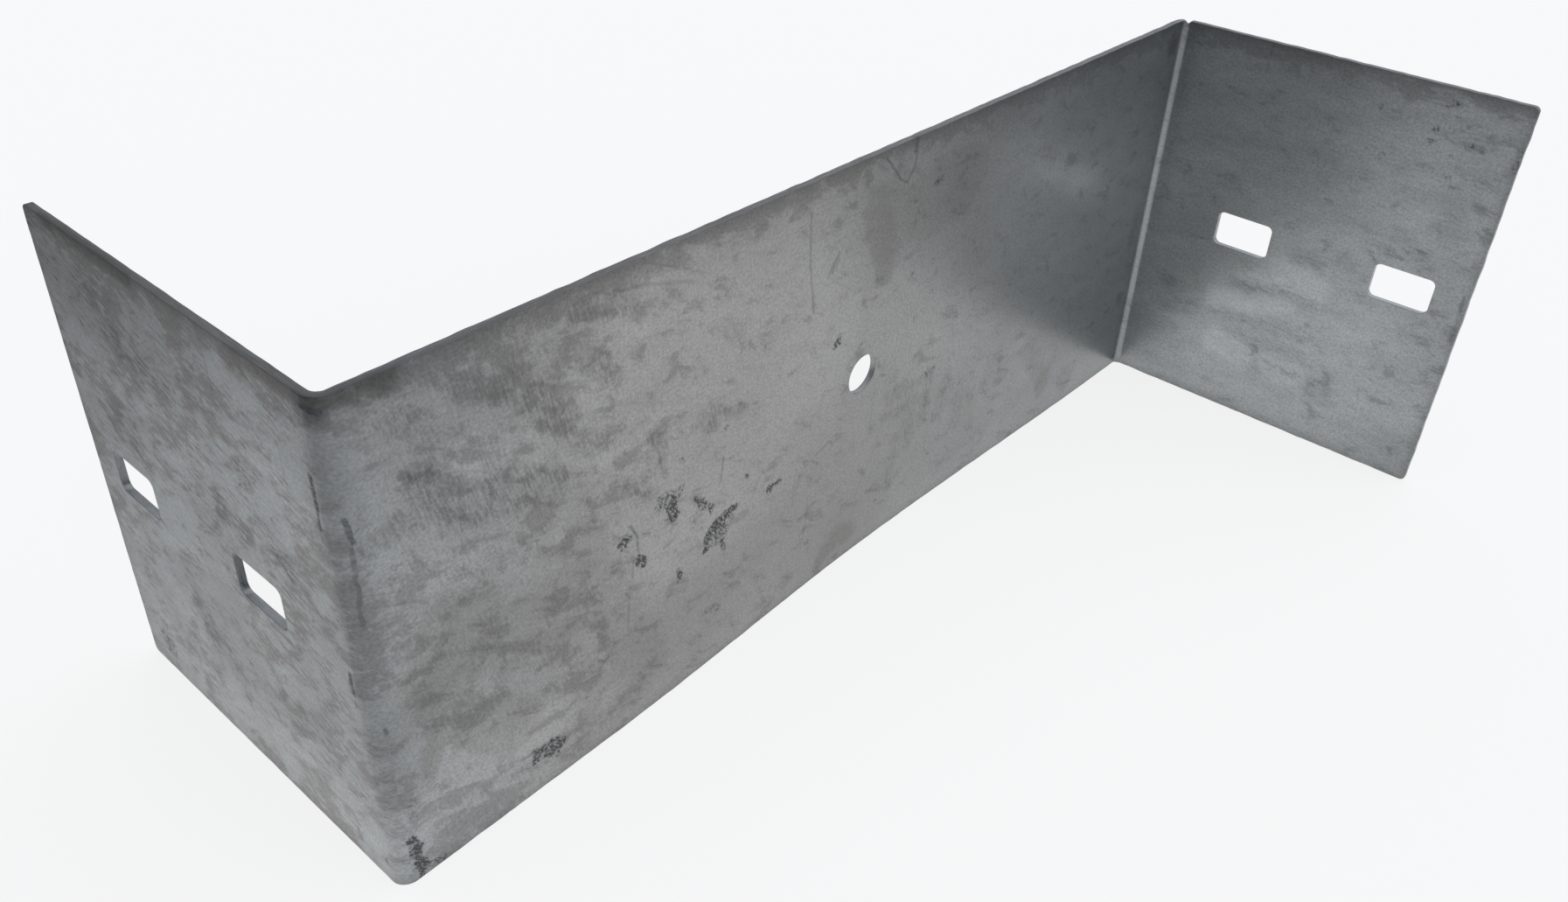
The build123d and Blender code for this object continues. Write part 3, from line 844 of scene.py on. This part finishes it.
def makePlate():
    thing = bpy.data.objects.new("zincPlate", bpy.data.meshes.new("zincPlate"))
    scene.collection.objects.link(thing)
    values = {**plate, "seed": coat["seed"], "zinc": zincMaterial, "stripLength": 2 * halfStrip,
              "halfStrip": halfStrip, "halfWeb": halfWebFlat, "bendRadius": bendRadius,
              "firstSlot": slotRowFlat - plate["slotSpacing"] * (plate["slotsPerFlange"] - 1) / 2}
    applyTree(thing, makeBlankTree(), values)
    bevel = thing.modifiers.new("edgeRound", "BEVEL")
    bevel.width = plate["edgeRound"]
    bevel.segments = plate["edgeSteps"]
    bevel.limit_method = "ANGLE"
    bevel.angle_limit = math.radians(plate["edgeAngle"])
    bake(thing)
    bm = bmesh.new()
    bm.from_mesh(thing.data)
    cutGrid(bm)
    refineUnderMarks(bm)
    bm.to_mesh(thing.data)
    bm.free()
    applyTree(thing, makeCoatTree(), values)
    applyTree(thing, makeFoldTree(), values)
    normals = thing.modifiers.new("flatNormals", "WEIGHTED_NORMAL")
    normals.weight = 100
    bake(thing)
    return thing


splicePlate = makePlate()
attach(splicePlate, "root")
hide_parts("splice_plate")
print("plate made,", sum(len(face.vertices) - 2 for face in splicePlate.data.polygons), "triangles")

# studio: a pale table under a soft sky that is brighter in front than behind
studio = {
    "floor": "#f6f6f6",
    "floorSize": 6.0,
    "floorDrop": 0.2 * mm,               # keeps the floor clear of the plate's lower edge
    "floorGlow": 0.8,                    # share of plain white that camera and metal see in the floor
    "paintedPoolPlace": (0.04, -0.10, 0.0),
    "paintedPoolRange": (0.16, 0.50, 1.0, 0.35),   # where the painted pool of light on the floor, which metal sees, falls off, and its values
    "sky": "#f4f8ff",
    "skyRange": (-0.8, 0.8, 0.35, 1.0),  # from behind to in front
    "frontDirection": (0.55, -0.65, 0.52),
}


def makeFloor():
    material = bpy.data.materials.new("paleFloor")
    add = emptied(material)
    path = add("ShaderNodeLightPath").outputs
    place = add("ShaderNodeTexCoord").outputs["Object"]
    # painted light: the floor glows brightest in a pool round the plate, and the metal mirrors it
    away = add("ShaderNodeVectorMath", [place, studio["paintedPoolPlace"]], "DISTANCE")
    paintedLightPool = add("ShaderNodeMapRange", [away.outputs["Value"], *studio["paintedPoolRange"]],
               interpolation_type="SMOOTHSTEP")
    strength = add("ShaderNodeMath", [path["Is Camera Ray"], paintedLightPool], "MAXIMUM")
    seen = add("ShaderNodeMath", [path["Is Camera Ray"], path["Is Glossy Ray"]], "MAXIMUM")
    share = add("ShaderNodeMath", [seen, studio["floorGlow"]], "MULTIPLY")
    matte = add("ShaderNodeBsdfDiffuse", [linear(studio["floor"])])
    glow = add("ShaderNodeEmission", {"Strength": strength})
    mixed = add("ShaderNodeMixShader", [share, matte, glow])
    add("ShaderNodeOutputMaterial", {"Surface": mixed})
    mesh = bpy.data.meshes.new("floor")
    bm = bmesh.new()
    bmesh.ops.create_grid(bm, x_segments=1, y_segments=1, size=studio["floorSize"] / 2)
    bm.to_mesh(mesh)
    bm.free()
    mesh.materials.append(material)
    floor = bpy.data.objects.new("floor", mesh)
    floor.location.z = -studio["floorDrop"]
    scene.collection.objects.link(floor)


def makeSky():
    world = bpy.data.worlds.new("studioSky")
    scene.world = world
    add = emptied(world)
    path = add("ShaderNodeLightPath").outputs
    direction = add("ShaderNodeTexCoord").outputs["Generated"]
    facing = add("ShaderNodeVectorMath", [direction, studio["frontDirection"]], "DOT_PRODUCT")
    level = add("ShaderNodeMapRange", [facing.outputs["Value"], *studio["skyRange"]],
                interpolation_type="SMOOTHSTEP")
    strength = add("ShaderNodeMath", [path["Is Camera Ray"], level], "MAXIMUM")
    background = add("ShaderNodeBackground", [linear(studio["sky"]), strength])
    add("ShaderNodeOutputWorld", {"Surface": background})


makeFloor()
makeSky()
print("studio made")

# camera: where the photograph was taken from, in the plate's own frame
view = {
    "place": (-191.8 * mm, -137.4 * mm, 195.0 * mm),
    "turn": (56.90, -2.25, -48.80),      # degrees about X, Y and Z
    "lens": 30.0,
    "shiftX": -0.0010,
    "shiftY": -0.0326,
    "nearest": 0.01,
}
cameraData = bpy.data.cameras.new("camera")
cameraData.lens = view["lens"]
cameraData.shift_x = view["shiftX"]
cameraData.shift_y = view["shiftY"]
cameraData.clip_start = view["nearest"]
camera = bpy.data.objects.new("camera", cameraData)
camera.location = view["place"]
camera.rotation_euler = [math.radians(angle) for angle in view["turn"]]
scene.collection.objects.link(camera)
scene.camera = camera

scene.view_settings.view_transform = "Standard"
print("scene ready")
